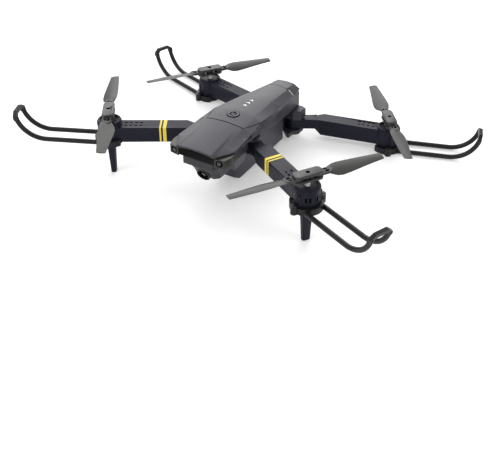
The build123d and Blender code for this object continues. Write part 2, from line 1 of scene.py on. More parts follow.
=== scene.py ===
# %% [markdown]
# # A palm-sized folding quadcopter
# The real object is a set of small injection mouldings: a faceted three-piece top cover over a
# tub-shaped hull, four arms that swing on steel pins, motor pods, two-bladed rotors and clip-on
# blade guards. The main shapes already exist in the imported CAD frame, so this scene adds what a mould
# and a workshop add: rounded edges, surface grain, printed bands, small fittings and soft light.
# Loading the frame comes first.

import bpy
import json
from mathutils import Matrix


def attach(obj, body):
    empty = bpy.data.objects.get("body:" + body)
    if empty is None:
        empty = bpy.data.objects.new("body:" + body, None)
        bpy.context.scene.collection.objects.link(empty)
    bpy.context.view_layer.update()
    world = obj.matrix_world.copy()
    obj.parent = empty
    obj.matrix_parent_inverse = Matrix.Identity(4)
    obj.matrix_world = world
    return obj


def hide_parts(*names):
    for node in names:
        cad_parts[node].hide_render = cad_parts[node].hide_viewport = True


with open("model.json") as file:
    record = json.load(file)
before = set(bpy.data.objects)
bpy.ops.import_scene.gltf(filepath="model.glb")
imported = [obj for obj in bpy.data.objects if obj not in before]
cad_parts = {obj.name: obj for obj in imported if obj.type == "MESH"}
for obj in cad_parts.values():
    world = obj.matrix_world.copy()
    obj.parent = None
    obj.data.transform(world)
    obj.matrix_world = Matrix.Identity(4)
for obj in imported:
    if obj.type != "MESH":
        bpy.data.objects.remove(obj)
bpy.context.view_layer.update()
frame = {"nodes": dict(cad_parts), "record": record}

# %% [markdown]
# ## Lengths and places
# Plastic mouldings of this size are thought of in millimetres, while Blender works in metres, so one
# factor turns one into the other. Places along the body are stations, counted from a datum near the
# power button, and the frame's own zero lies 9.9 mm further aft. A matrix that does both jobs lets
# every later piece be written with the same numbers that a drawing would show.

# %% Millimetres, stations and sides
import json
from math import atan2, cos, degrees, hypot, pi, radians, sin

import bmesh
import bpy
from mathutils import Matrix, Vector

MM = 0.001
MIDDLE_STATION = 9.9
SIDES = (("left", 1), ("right", -1))
DECK = Matrix.Scale(MM, 4) @ Matrix.Translation((0, -MIDDLE_STATION, 0))
nodes = frame["nodes"]


def spot(x, y, turn=0.0, z=0.0):
    """Matrix of a level place at a station, turned in plan, in millimetres from there on."""
    return DECK @ Matrix.Translation((x, y, z)) @ Matrix.Rotation(radians(turn), 4, "Z")


def flip(side):
    """Mirror for the right-hand twin of a left-hand piece, and nothing for the left."""
    return Matrix.Diagonal((side, 1, 1, 1))


FRONT_PIVOT, FRONT_HUB = (17.4, -17.8), (75.7, -52.1)
REAR_PIVOT, REAR_HUB = (10.0, 52.6), (77.0, 73.1)
front_turn = degrees(atan2(FRONT_HUB[1] - FRONT_PIVOT[1], FRONT_HUB[0] - FRONT_PIVOT[0]))
front_reach = hypot(FRONT_HUB[1] - FRONT_PIVOT[1], FRONT_HUB[0] - FRONT_PIVOT[0])
print(f"front arm: {front_reach:.1f} mm long, turned {front_turn:.1f} degrees")

# %% [markdown]
# ## Camera
# The object is seen from above and from its left-hand front, as on a packing table. A long lens keeps
# the four rotors nearly the same size. The object stands in the upper half of the frame, and that is
# done by shifting the lens rather than tilting the camera, which would lean the upright edges.

# %% Camera
scene = bpy.context.scene
camera_turn, camera_height, camera_roll = radians(31.53), radians(30.69), radians(0.5)
camera_distance = 580.4 * MM
target = DECK @ Vector((0, 0, 30))
back = Vector((sin(camera_turn) * cos(camera_height), -cos(camera_turn) * cos(camera_height),
               sin(camera_height)))
camera = bpy.data.objects.new("camera", bpy.data.cameras.new("camera"))
scene.collection.objects.link(camera)
camera.location = target + back * camera_distance
camera.rotation_mode = "QUATERNION"
camera.rotation_quaternion = ((-back).to_track_quat("-Z", "Y")
                              @ Matrix.Rotation(-camera_roll, 3, "Z").to_quaternion())
camera.data.lens = 60.5
camera.data.shift_x = 0.011
camera.data.shift_y = -0.2186
camera.data.clip_start, camera.data.clip_end = 0.02, 50
scene.camera = camera
print("camera at", [round(value, 3) for value in camera.location])

# %% [markdown]
# ## Floor and light
# A sheet of white card, much larger than the object, gives a clean ground and a soft shadow under the
# feet. Large square lamps act as studio softboxes. The strongest stands behind the object, where the
# camera sees its reflection in every upward face: that is why dark plastic looks mid grey on top and
# almost black at its sides. A smaller one opens up the nose and another the left-hand flank.

# %% Floor, sky and softboxes
def softbox(name, place, aim, size, power):
    """Square lamp at a place, turned towards a point, both in metres."""
    lamp = bpy.data.lights.new(name, "AREA")
    lamp.shape, lamp.size, lamp.energy = "SQUARE", size, power
    holder = bpy.data.objects.new(name, lamp)
    holder.location = place
    holder.rotation_mode = "QUATERNION"
    holder.rotation_quaternion = (Vector(aim) - Vector(place)).to_track_quat("-Z", "Y")
    scene.collection.objects.link(holder)
    return holder


softbox("rear_softbox", (-0.62, 1.05, 0.80), (0, 0, 0.02), 1.35, 15.5)
softbox("front_softbox", (-0.7, -1.1, 0.9), (0, 0, 0.02), 0.9, 7)
softbox("side_softbox", (1.3, 0.1, 0.7), (0, 0, 0.02), 0.7, 3.5)
world = bpy.data.worlds.new("studio_sky")
world.use_nodes = True
world.node_tree.nodes["Background"].inputs["Color"].default_value = (1.0, 1.0, 1.0, 1)
world.node_tree.nodes["Background"].inputs["Strength"].default_value = 0.82
scene.world = world
scene.view_settings.view_transform = "Standard"
card = bmesh.new()
bmesh.ops.create_grid(card, x_segments=8, y_segments=8, size=4.0)
floor_mesh = bpy.data.meshes.new("floor")
card.to_mesh(floor_mesh)
floor = bpy.data.objects.new("floor", floor_mesh)
scene.collection.objects.link(floor)
print("floor is", floor.dimensions.x, "metres wide")

# %% [markdown]
# ## Shared surface effects
# Moulded plastic looks real because of small things: the spark-eroded grain of the mould, edges that
# hands have polished paler and that also carry a painted highlight, and a faint cloudiness where the
# melt flowed. Each effect is a node group with named sockets, built once, that gives only a mask or a
# height. The shader itself stays in each material, where the numbers that are even all over the surface
# are set directly.

# %% Helpers for shader nodes
def node(tree, kind, inputs=None, **properties):
    """New node in a tree: inputs maps a socket to a value or to another node's output."""
    made = tree.nodes.new(kind)
    for key, value in properties.items():
        setattr(made, key, value)
    for key, value in (inputs or {}).items():
        if isinstance(value, bpy.types.NodeSocket):
            tree.links.new(value, made.inputs[key])
        else:
            made.inputs[key].default_value = value
    return made


def effect(name, inputs, output):
    """Empty node group with float inputs and one float output."""
    tree = bpy.data.node_groups.new(name, "ShaderNodeTree")
    for label, value in inputs:
        socket = tree.interface.new_socket(label, in_out="INPUT", socket_type="NodeSocketFloat")
        socket.default_value = value
    tree.interface.new_socket(output, in_out="OUTPUT", socket_type="NodeSocketFloat")
    return tree, tree.nodes.new("NodeGroupInput").outputs, tree.nodes.new("NodeGroupOutput").inputs


def math(tree, operation, first, second, clamp=False):
    """Output of a Math node."""
    return node(tree, "ShaderNodeMath", {0: first, 1: second}, operation=operation,
                use_clamp=clamp).outputs[0]


# %% Mould grain, cloudiness, worn and highlighted edges, and turned lines
grain, given, result = effect("mould_grain", [("Pitch per metre", 2600.0), ("Depth", 1.0)], "Height")
place = node(grain, "ShaderNodeTexCoord").outputs["Object"]
pits = node(grain, "ShaderNodeTexVoronoi", {"Vector": place, "Scale": given[0]}, feature="SMOOTH_F1")
fuzz = node(grain, "ShaderNodeTexNoise",
            {"Vector": place, "Scale": math(grain, "MULTIPLY", given[0], 1.7), "Detail": 2.0})
both = math(grain, "ADD", pits.outputs["Distance"], math(grain, "MULTIPLY", fuzz.outputs[0], 0.7))
grain.links.new(math(grain, "MULTIPLY", both, given[1]), result[0])

clouds, given, result = effect("melt_clouds", [("Pitch per metre", 45.0), ("Contrast", 1.0)], "Mask")
place = node(clouds, "ShaderNodeTexCoord").outputs["Object"]
wide = node(clouds, "ShaderNodeTexNoise",
            {"Vector": place, "Scale": given[0], "Detail": 4.0, "Roughness": 0.62})
centred = math(clouds, "SUBTRACT", wide.outputs[0], 0.5)
spread = math(clouds, "MULTIPLY", centred, math(clouds, "MULTIPLY", given[1], 2.2))
clouds.links.new(math(clouds, "ADD", spread, 0.5, clamp=True), result[0])

# Edge mask from the bevel normal, broken up by noise: it places edge wear and also a painted highlight
# along edges.
wear_and_highlight_tree, given, result = effect("worn_edges", [("Width", 0.00035), ("Amount", 1.0)], "Mask")
place = node(wear_and_highlight_tree, "ShaderNodeTexCoord").outputs["Object"]
rounded = node(wear_and_highlight_tree, "ShaderNodeBevel", {"Radius": given[0]}, samples=4).outputs[0]
facing = node(wear_and_highlight_tree, "ShaderNodeNewGeometry").outputs["Normal"]
same = node(wear_and_highlight_tree, "ShaderNodeVectorMath", {0: rounded, 1: facing}, operation="DOT_PRODUCT")
bend = math(wear_and_highlight_tree, "SUBTRACT", 1.0, same.outputs["Value"])
edge = node(wear_and_highlight_tree, "ShaderNodeMapRange", {"Value": bend, "From Min": 0.015, "From Max": 0.2})
rubbed = node(wear_and_highlight_tree, "ShaderNodeTexNoise", {"Vector": place, "Scale": 420.0, "Detail": 3.0})
patchy = node(wear_and_highlight_tree, "ShaderNodeMapRange", {"Value": rubbed.outputs[0], "From Min": 0.3, "From Max": 0.68})
strength = math(wear_and_highlight_tree, "MULTIPLY", edge.outputs[0], patchy.outputs[0])
wear_and_highlight_tree.links.new(math(wear_and_highlight_tree, "MULTIPLY", strength, given[1], clamp=True), result[0])

turned, given, result = effect("turned_lines", [("Pitch per metre", 5200.0), ("Depth", 1.0)], "Height")
place = node(turned, "ShaderNodeTexCoord").outputs["Object"]
flat = node(turned, "ShaderNodeVectorMath", {0: place, 1: (0.03, 0.03, 1.0)}, operation="MULTIPLY")
lines = node(turned, "ShaderNodeTexNoise",
             {"Vector": flat.outputs[0], "Scale": given[0], "Detail": 2.0})
turned.links.new(math(turned, "MULTIPLY", lines.outputs[0], given[1]), result[0])
print("effects:", [tree.name for tree in (grain, clouds, wear_and_highlight_tree, turned)])

# %% [markdown]
# ## Finishes
# Most of the object is the same ABS plastic in a few dark tints, so one recipe serves them all: a base
# colour that drifts slightly with the clouds, edges worn to another tint, which on most finishes is also
# a painted highlight along them, grain as bump, and roughness that follows clouds and wear. A dark
# moulding gets nearly all of its brightness from reflection, so how strongly each finish reflects
# matters as much as its colour: the covers have a soft sheen, the arms are a duller navy, the blades and
# hubs a mid grey, and the guards a satin near-black.

# %% One recipe for moulded plastic
COOL_SHEEN = (0.94, 0.94, 1.0, 1)
NEUTRAL_SHEEN = (1, 1, 1, 1)
GRAIN_RELIEF = 0.00002


def placed(tree, name, values):
    """A shared effect placed in a material with its own values, giving its output."""
    holder = node(tree, "ShaderNodeGroup", node_tree=bpy.data.node_groups[name])
    for key, value in values.items():
        holder.inputs[key].default_value = value
    return holder.outputs[0]


def moulded_finish(name, colour, rough, edge_colour, wear=0.5, grain_pitch=2600.0, grain_depth=0.5,
                   drift=0.12, coat=0.0, shine=0.5, glow=0.0):
    """Plastic with mould grain, drifting tint and roughness, and edges worn to another colour, on most
    finishes a paler one that also paints a highlight on them.
    """
    made = bpy.data.materials.new(name)
    made.use_nodes = True
    tree = made.node_tree
    shader = tree.nodes["Principled BSDF"]
    cloud = placed(tree, "melt_clouds", {"Contrast": 1.0})
    fine = placed(tree, "mould_grain", {"Pitch per metre": grain_pitch, "Depth": grain_depth})
    edges = placed(tree, "worn_edges", {"Amount": wear})
    darker = tuple(channel * (1 - drift) for channel in colour) + (1,)
    lighter = tuple(channel * (1 + drift) for channel in colour) + (1,)
    tint = node(tree, "ShaderNodeMix", {"Factor": cloud, 6: darker, 7: lighter}, data_type="RGBA")
    # Edges take the edge colour: wear, and where it is paler than the base, a painted highlight.
    body = node(tree, "ShaderNodeMix", {"Factor": edges, 6: tint.outputs[2], 7: tuple(edge_colour) + (1,)},
                data_type="RGBA")
    tree.links.new(body.outputs[2], shader.inputs["Base Color"])
    uneven = node(tree, "ShaderNodeMapRange",
                  {"Value": cloud, "To Min": rough - 0.05, "To Max": rough + 0.06})
    polished = math(tree, "SUBTRACT", uneven.outputs[0], math(tree, "MULTIPLY", edges, 0.12), clamp=True)
    tree.links.new(polished, shader.inputs["Roughness"])
    relief = node(tree, "ShaderNodeBump", {"Height": fine, "Strength": 0.6, "Distance": GRAIN_RELIEF})
    tree.links.new(relief.outputs[0], shader.inputs["Normal"])
    shader.inputs["Specular IOR Level"].default_value = shine
    cool = colour[2] > colour[0]
    shader.inputs["Specular Tint"].default_value = COOL_SHEEN if cool else NEUTRAL_SHEEN
    shader.inputs["Coat Weight"].default_value = coat
    shader.inputs["Coat Roughness"].default_value = 0.35 if coat < 0.9 else 0.05
    if glow:
        tree.links.new(tint.outputs[2], shader.inputs["Emission Color"])
        shader.inputs["Emission Strength"].default_value = glow
    made.diffuse_color = tuple(colour) + (1,)
    return made


# %% One recipe for metal
def metal_finish(name, colour, rough, lines=0.5):
    """Bare or blackened metal with turned lines and a little cloudiness in its polish."""
    made = bpy.data.materials.new(name)
    made.use_nodes = True
    tree = made.node_tree
    shader = tree.nodes["Principled BSDF"]
    cloud = placed(tree, "melt_clouds", {"Pitch per metre": 260.0, "Contrast": 1.0})
    fine = placed(tree, "turned_lines", {"Depth": lines})
    darker = tuple(channel * 0.8 for channel in colour) + (1,)
    tint = node(tree, "ShaderNodeMix", {"Factor": cloud, 6: darker, 7: tuple(colour) + (1,)},
                data_type="RGBA")
    tree.links.new(tint.outputs[2], shader.inputs["Base Color"])
    uneven = node(tree, "ShaderNodeMapRange",
                  {"Value": cloud, "To Min": rough - 0.06, "To Max": rough + 0.08})
    tree.links.new(uneven.outputs[0], shader.inputs["Roughness"])
    relief = node(tree, "ShaderNodeBump", {"Height": fine, "Strength": 0.4, "Distance": GRAIN_RELIEF})
    tree.links.new(relief.outputs[0], shader.inputs["Normal"])
    shader.inputs["Metallic"].default_value = 1.0
    return made


# %% The object's finishes, by material slot
# Edge colours are mostly paler than the base, so the worn edges are partly a painted highlight.
finishes = {
    "body_shell": moulded_finish("anthracite_shell", (0.024, 0.024, 0.031), 0.44, (0.10, 0.10, 0.115),
                                 wear=0.22, shine=0.36),
    "arm_plastic": moulded_finish("navy_arm", (0.0085, 0.0085, 0.0170), 0.42, (0.06, 0.06, 0.085),
                                  wear=0.6, shine=0.14),
    "camera_shell": moulded_finish("camera_grey", (0.022, 0.022, 0.024), 0.42, (0.08, 0.08, 0.085),
                                   shine=0.3),
    "grille_black": moulded_finish("grille_black", (0.003, 0.003, 0.0035), 0.42, (0.02, 0.02, 0.02),
                                   wear=0.3, shine=0.1),
    "sensor_olive": moulded_finish("sensor_olive", (0.020, 0.020, 0.016), 0.36, (0.09, 0.09, 0.08),
                                   wear=0.45, shine=0.3),
    "lens_glass": moulded_finish("coated_lens", (0.003, 0.004, 0.008), 0.09, (0.02, 0.02, 0.03),
                                 wear=0.1, grain_depth=0.02, coat=1.0),
    "button_grey": moulded_finish("button_grey", (0.024, 0.024, 0.029), 0.42, (0.10, 0.10, 0.11),
                                  shine=0.36),
    "light_white": moulded_finish("milky_light_guide", (0.86, 0.87, 0.9), 0.3, (0.95, 0.95, 0.95),
                                  wear=0.2, drift=0.03, glow=0.35),
    "circuit_green": moulded_finish("solder_mask", (0.012, 0.075, 0.030), 0.35, (0.3, 0.2, 0.06),
                                    drift=0.25),
    "contact_brass": metal_finish("plated_contact", (0.80, 0.60, 0.26), 0.25),
    "pin_steel": metal_finish("ground_pin", (0.55, 0.55, 0.57), 0.24),
    "screw_steel": metal_finish("blackened_screw", (0.06, 0.06, 0.065), 0.36),
    "battery_wrap": moulded_finish("battery_wrap", (0.045, 0.055, 0.080), 0.33, (0.1, 0.11, 0.14),
                                   wear=0.2),
    "motor_can": metal_finish("drawn_motor_can", (0.60, 0.60, 0.62), 0.3),
    "hub_black": moulded_finish("hub_grey", (0.020, 0.020, 0.0195), 0.42, (0.13, 0.13, 0.125),
                                wear=0.45, shine=0.42),
    "collar_white": moulded_finish("white_collar", (0.80, 0.80, 0.79), 0.35, (0.9, 0.9, 0.9),
                                   wear=0.2, drift=0.05),
    "blade_grey": moulded_finish("blade_grey", (0.046, 0.046, 0.044), 0.40, (0.012, 0.012, 0.012),
                                 wear=0.8, grain_pitch=1500.0, shine=0.2),
    "guard_plastic": moulded_finish("guard_satin", (0.008, 0.008, 0.0085), 0.36, (0.06, 0.06, 0.06),
                                    wear=0.4, grain_pitch=1500.0, shine=0.24),
}
print(len(finishes), "finishes for the record's slots")

# %% [markdown]
# ## Two finishes for details, and the card
# Gaps, holes and recesses get painted shade: a near-black plastic finish, very rough and with no
# reflection of its own, so it stays dark whatever it faces. The eye bezels, the camera's inner steps and
# the power sign are drawn in the same black. The bands are an opaque yellow print. The card glows very
# slightly, which keeps the shadow on it soft and pale.

# %% Painted-shade black, printed yellow and white card
# Near-black, rough, no reflection: painted shade in gaps, holes and recesses, and the black of a few small
# parts.
SHADE_AND_BLACK_COLOUR = (0.0012, 0.0012, 0.0015)
finishes["dark_gap"] = moulded_finish("dark_gap", SHADE_AND_BLACK_COLOUR, 0.85, SHADE_AND_BLACK_COLOUR, wear=0.0, shine=0.0)
finishes["band_yellow"] = moulded_finish("printed_yellow", (0.72, 0.57, 0.060), 0.42, (0.50, 0.38, 0.04),
                                         wear=0.5, drift=0.06, shine=0.3)
floor.data.materials.append(
    moulded_finish("white_card", (0.9, 0.9, 0.9), 0.85, (0.9, 0.9, 0.9), wear=0.0, drift=0.01,
                   grain_pitch=900.0, grain_depth=0.2, shine=0.1, glow=0.22))
print(len(finishes), "finishes in all")

# %% [markdown]
# ## Rounding the mouldings
# CAD edges are perfectly sharp, and no moulded edge is: a mould leaves a radius of a few tenths of a
# millimetre, and that radius is what catches the light. Subdivision would soften the flat facets too,
# so a bevel modifier is used instead, and only on edges long enough to carry it: on the tiny edges
# round a hole or a rib the same bevel would fold over itself. Each CAD mesh that is given a radius is
# copied, its split corners are welded, its flat faces are joined up again, and the copy stands for its
# node; the other nodes keep their mesh and only get a finish.

# %% Round the moulded nodes
owner = {name: body for body, members in frame["record"]["behaviour"]["bodies"].items() for name in members}
slots = {entry["node"]: entry["material_slot"] for entry in frame["record"]["subparts"]}
EDGE_ANGLE = radians(32)


def settle(piece, body, slot, width=0.0, limit="ANGLE", finish=None):
    """Shading, edge radius, body and finish of a new piece, the finish chosen by name or else by its slot.
    """
    mesh = piece.data
    mesh.shade_smooth()
    mesh.set_sharp_from_angle(angle=EDGE_ANGLE)
    if width:
        bevel = piece.modifiers.new("edge_radius", "BEVEL")
        bevel.width, bevel.segments = width * MM, 2
        bevel.limit_method, bevel.angle_limit = limit, EDGE_ANGLE
        bevel.use_clamp_overlap = limit == "ANGLE"
        bevel.harden_normals = True
    mesh.materials.clear()
    mesh.materials.append(finishes[finish or slot])
    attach(piece, body)
    return piece


def rounded_copy(name, width, shortest=2.2):
    """Copy of a CAD node with welded corners, joined flats and its long edges rounded."""
    work = bmesh.new()
    work.from_mesh(nodes[name].data)
    bmesh.ops.remove_doubles(work, verts=work.verts, dist=0.002 * MM)
    bmesh.ops.dissolve_limit(work, angle_limit=radians(0.6), verts=work.verts, edges=work.edges)
    weight = work.edges.layers.float.new("bevel_weight_edge")
    for edge in work.edges:
        if len(edge.link_faces) == 2 and edge.calc_length() > shortest * MM:
            edge[weight] = float(edge.calc_face_angle(0.0) > EDGE_ANGLE)
    mesh = bpy.data.meshes.new(name + "_moulded")
    work.to_mesh(mesh)
    work.free()
    piece = bpy.data.objects.new(name + "_moulded", mesh)
    scene.collection.objects.link(piece)
    settle(piece, owner[name], slots[name], width, "WEIGHT")
    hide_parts(name)
    return piece


edge_radius = {"hull": 0.3, "rear_brackets": 0.35, "nose_cover": 0.25, "top_cover": 0.2, "tail_cover": 0.25,
               "front_grille": 0.12, "corner_sensors": 0.25, "camera_housing": 0.35, "battery_pack": 0.2,
               "battery_cap": 0.25, "circuit_board": 0.05, "battery_contacts": 0.05}
radius_by_kind = {"arm": 0.4, "landing_leg": 0.5, "hub": 0.25}
for name in nodes:
    kind = name.replace("_left", "").replace("_right", "").replace("front_", "").replace("rear_", "")
    width = edge_radius.get(name, radius_by_kind.get(kind, 0.0))
    if width:
        rounded_copy(name, width)
    else:
        nodes[name].data.materials.clear()
        nodes[name].data.materials.append(finishes["arm_plastic" if kind == "pod_cap" else slots[name]])
print(sum(entry.hide_render for entry in nodes.values()), "of", len(nodes), "nodes have a rounded copy")

# %% [markdown]
# ## Tools for small pieces
# Everything still missing is small: printed bands, rings, screws, fins. Two tools make nearly all of
# them. One raises a straight-sided block over an outline, as a saw or a die would, and the other turns
# a profile round an axis, as a lathe would. Both take a matrix, so a piece is written once in its own
# simple coordinates and placed four times, mirrored for the right-hand side.

# %% Block, lathe and finished piece
def block_over(work, place, outline, low, high):
    """Straight-sided block over a closed outline, between two heights, at a place."""
    under = [work.verts.new(place @ Vector((x, y, low))) for x, y in outline]
    over = [work.verts.new(place @ Vector((x, y, high))) for x, y in outline]
    work.faces.new(under[::-1])
    work.faces.new(over)
    for index in range(len(outline)):
        work.faces.new((under[index - 1], under[index], over[index], over[index - 1]))


def turned_ring(work, place, profile, steps=40, start=0.0, sweep=360.0):
    """Closed profile of radius and height, turned about a place's own upright axis."""
    whole = sweep >= 360.0
    rings = []
    for step in range(steps if whole else steps + 1):
        turn = radians(start + sweep * step / steps)
        rings.append([work.verts.new(place @ Vector((radius * cos(turn), radius * sin(turn), height)))
                      for radius, height in profile])
    for first, second in zip(rings, rings[1:] + rings[:1] if whole else rings[1:]):
        for index in range(len(profile)):
            work.faces.new((first[index - 1], first[index], second[index], second[index - 1]))
    if not whole:
        work.faces.new(rings[0])
        work.faces.new(rings[-1][::-1])


def finished(name, work, body, slot, width=0.0, finish=None):
    """Object made from a bmesh, with outward faces, shading, finish and body."""
    bmesh.ops.recalc_face_normals(work, faces=work.faces)
    mesh = bpy.data.meshes.new(name)
    work.to_mesh(mesh)
    work.free()
    piece = bpy.data.objects.new(name, mesh)
    scene.collection.objects.link(piece)
    return settle(piece, body, slot, width, "ANGLE", finish)


REAR_ELBOW_REACH, REAR_ELBOW_SWING = 17.0, 14.0
rear_root_turn = REAR_ELBOW_SWING + degrees(atan2(REAR_HUB[1] - REAR_PIVOT[1],
                                                  REAR_HUB[0] - REAR_PIVOT[0]))
elbow = (REAR_PIVOT[0] + REAR_ELBOW_REACH * cos(radians(rear_root_turn)),
         REAR_PIVOT[1] + REAR_ELBOW_REACH * sin(radians(rear_root_turn)))
outer_turn = degrees(atan2(REAR_HUB[1] - elbow[1], REAR_HUB[0] - elbow[0]))
print(f"rear elbow at {elbow[0]:.1f}, {elbow[1]:.1f}, outer arm turned {outer_turn:.1f} degrees")

# %% [markdown]
# ## Printed bands on the front arms
# Each front arm carries two yellow bands, a wide one nearer the body and a narrow one outside it. On
# the real arm they are pad-printed or a thin sticker that wraps over the top edge and down the front
# face. Paint has almost no thickness, so a band is an L-shaped sleeve less than 0.1 mm proud of the
# plastic, made of one outline pulled along the arm. The printing is not quite in step from arm to
# arm, so the bands on the two sides are 2.6 mm apart in reach.

# %% Bands
def arm_band(work, place, start, end):
    """L-shaped strip over an arm's top and down its front face, from one reach to another."""
    sleeve = [(5.35, 37.58), (5.35, 37.66), (-5.42, 37.66), (-5.60, 37.60), (-5.76, 37.42), (-5.76, 27.1),
              (-5.68, 27.1), (-5.68, 37.35), (-5.5, 37.55), (-5.35, 37.58)]
    ends = [[work.verts.new(place @ Vector((reach, y, z))) for y, z in sleeve] for reach in (start, end)]
    work.faces.new(ends[0])
    work.faces.new(ends[1][::-1])
    for index in range(len(sleeve)):
        work.faces.new((ends[0][index - 1], ends[0][index], ends[1][index], ends[1][index - 1]))


BAND_REACHES = ((27.4, 29.7), (30.9, 32.1))
PRINT_OFFSET = 1.3
for label, side in SIDES:
    work = bmesh.new()
    shift = -PRINT_OFFSET * side
    for start, end in BAND_REACHES:
        arm_band(work, flip(side) @ spot(*FRONT_PIVOT, front_turn), start + shift, end + shift)
    finished("arm_bands_" + label, work, "front_arm_" + label, "arm_plastic", finish="band_yellow")
print("bands at", BAND_REACHES, "mm from the hinge")

# %% [markdown]
# ## Motor pods
# A pod is a moulded cup. Rings round its upper third stiffen it, a lower ring marks where the guard
# clips on, and narrow windows let the motor breathe. The rings are turned profiles that bulge a
# fraction of a millimetre, which is enough to catch a line of light. A window this narrow only ever
# shows as a dark shape, so each is a black bar of painted shade almost level with the wall instead of
# a cut hole.

# %% Rings and windows of the pods
CORNERS = {"front": {"hub": FRONT_HUB, "arm_turn": front_turn, "bottom": 24.5, "top": 41.5,
                     "rotor_turn": 56.0, "guard_turn": -24.0, "hand": 1},
           "rear": {"hub": REAR_HUB, "arm_turn": outer_turn, "bottom": 0.0, "top": 18.0,
                    "rotor_turn": 127.0, "guard_turn": 18.2, "hand": -1}}
for end, corner in CORNERS.items():
    for label, side in SIDES:
        place = flip(side) @ spot(*corner["hub"], corner["arm_turn"])
        top, bottom = corner["top"], corner["bottom"]
        work = bmesh.new()
        for height in (top - 1.75, top - 3.35, bottom + 6.9):
            turned_ring(work, place, [(8.1, height - 0.42), (8.42, height - 0.25), (8.52, height),
                                      (8.42, height + 0.25), (8.1, height + 0.42)])
        finished(f"{end}_pod_rings_{label}", work, f"{end}_arm_{label}", "arm_plastic")
        # Windows: black bars of painted shade instead of cut holes.
        work = bmesh.new()
        for turn in (-36, -18, 18, 36):
            window = place @ Matrix.Rotation(radians(turn), 4, "Z")
            block_over(work, window, [(8.0, -0.55), (8.38, -0.55), (8.38, 0.55), (8.0, 0.55)],
                       bottom + 8.2, top - 5.4)
        finished(f"{end}_pod_window_shades_{label}", work, f"{end}_arm_{label}", "arm_plastic", 0.08,
                 finish="dark_gap")
print("pods dressed:", ", ".join(CORNERS))

# %% [markdown]
# ## Cooling slots
# Two rows of small slots let air into the arm. They are open to the dark inside of the arm, so
# each one gets a black rounded plate of painted shade set just below its mouth.

# %% Slot mouths in painted shade
ARM_TOPS = {"front": (FRONT_PIVOT, front_turn, front_reach, 37.6),
            "rear": (elbow, outer_turn, hypot(REAR_HUB[0] - elbow[0], REAR_HUB[1] - elbow[1]), 16.9)}
SLOT_PITCH, SLOT_ASIDE, FIRST_SLOT = 3.4, 1.9, -21.4
mouth = []
for corner in range(12):
    turn = corner * pi / 6
    mouth.append((0.75 * cos(turn) + (0.45 if cos(turn) > 0 else -0.45), 0.75 * sin(turn)))
for end, (origin, turn, reach, top) in ARM_TOPS.items():
    for label, side in SIDES:
        work = bmesh.new()
        for step in range(4):
            for aside in (SLOT_ASIDE, -SLOT_ASIDE):
                along = reach + FIRST_SLOT + SLOT_PITCH * step
                place = flip(side) @ spot(*origin, turn) @ Matrix.Translation((along, aside, 0))
                # Each slot gets a black plate of painted shade just below its mouth.
                block_over(work, place, mouth, top - 1.15, top - 0.3)
        finished(f"{end}_slot_mouth_shades_{label}", work, f"{end}_arm_{label}", "arm_plastic", finish="dark_gap")
print("32 slot mouths")

# %% [markdown]
# ## Guard clips
# Each guard clips round its pod with a split ring, and has a small screw in each of the ring's two
# ears. The screw heads are blackened pan heads with a cross recess. Cutting a cross out of a head this
# small would cost many faces, so the cross is two thin black bars of painted shade that lie almost
# level with the head's top and read as a recess.

# %% Guard screws
def pan_screw(work, place, radius, height, x, y):
    """Pan head at a point of a place, its underside at the given height."""
    seat = place @ Matrix.Translation((x, y, height))
    turned_ring(work, seat, [(0.02, 0), (radius, 0), (radius, 0.14), (radius * 0.8, 0.3),
                             (radius * 0.35, 0.36), (0.02, 0.36)], steps=20)


for end, corner in CORNERS.items():
    for label, side in SIDES:
        place = flip(side) @ spot(*corner["hub"], corner["guard_turn"])
        work = bmesh.new()
        recess_shade = bmesh.new()
        for aside in (10.9, -10.9):
            pan_screw(work, place, 1.15, corner["bottom"] + 6.3, 1.5, aside)
            # The cross recess is painted shade: two black bars on the head's top.
            for turn in (0, 90):
                bar = place @ Matrix.Translation((1.5, aside, 0)) @ Matrix.Rotation(radians(turn), 4, "Z")
                block_over(recess_shade, bar, [(-0.55, -0.13), (0.55, -0.13), (0.55, 0.13), (-0.55, 0.13)],
                           corner["bottom"] + 6.6, corner["bottom"] + 6.68)
        finished(f"{end}_guard_screws_{label}", work, f"{end}_guard_{label}", "guard_plastic",
                 finish="screw_steel")
        finished(f"{end}_guard_recess_shades_{label}", recess_shade, f"{end}_guard_{label}", "guard_plastic",
                 finish="dark_gap")
print("eight guard screws")

# %% [markdown]
# ## Rotor hubs and blade roots
# The hub is two plates with the blades' eyes between them. Its middle has a deep hole down to the
# shaft, drawn as a cup of painted shade, and slim posts tie the plates together, painted as dark as the
# shade between the plates. A blade starts with a thick wedge, hollowed by two pockets that keep the
# moulding even in thickness. The pockets are thin dark plates of painted shade set in the wedge's top,
# because a real recess this small would only ever be seen as a dark shape.

